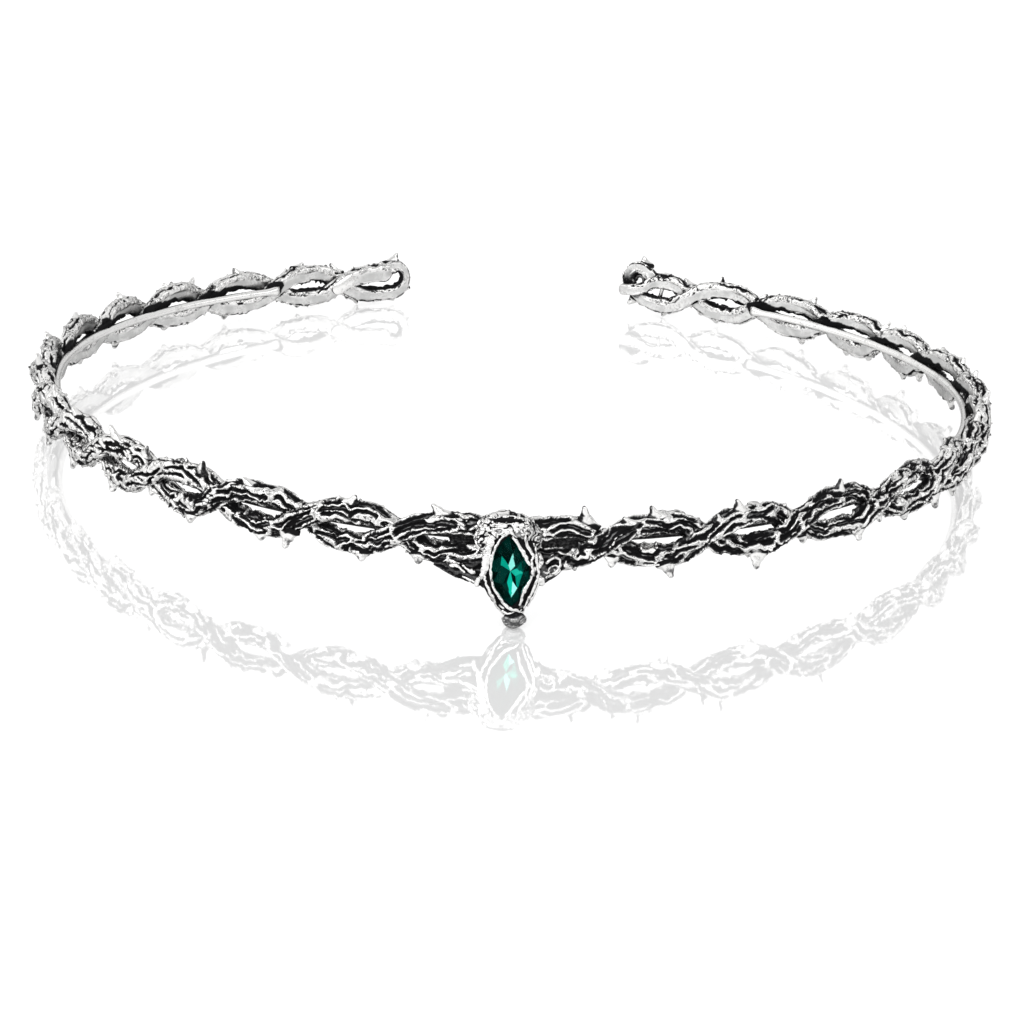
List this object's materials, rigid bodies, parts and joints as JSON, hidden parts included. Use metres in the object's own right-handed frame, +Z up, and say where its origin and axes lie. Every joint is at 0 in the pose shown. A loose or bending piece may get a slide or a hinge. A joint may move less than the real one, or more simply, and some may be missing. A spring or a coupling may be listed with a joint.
{
  "type": "circlet",
  "caption": "Open circlet of twisted thorny silver branches, with a long marquise stone in a hanging setting at the front and an end loop either side of the gap.",
  "frame": {"origin": "middle of the bounding box, at its lowest level, which is the surface that the circlet rests on", "axes": "+Z up as it lies by itself, -Y to the wearer's front with the stone, +X to the right of someone who looks at the stone"},
  "size_m": [0.1571, 0.1599, 0.0167],
  "materials": {
    "oxidised_silver": "oxidised silver: bright worn ridges over black grooves outside, satin silver inside",
    "green_stone": "deep green, cut and polished"
  },
  "bodies": {
    "root": {"thorn_band": "oxidised_silver", "stone": "green_stone"}
  },
  "joints": []
}
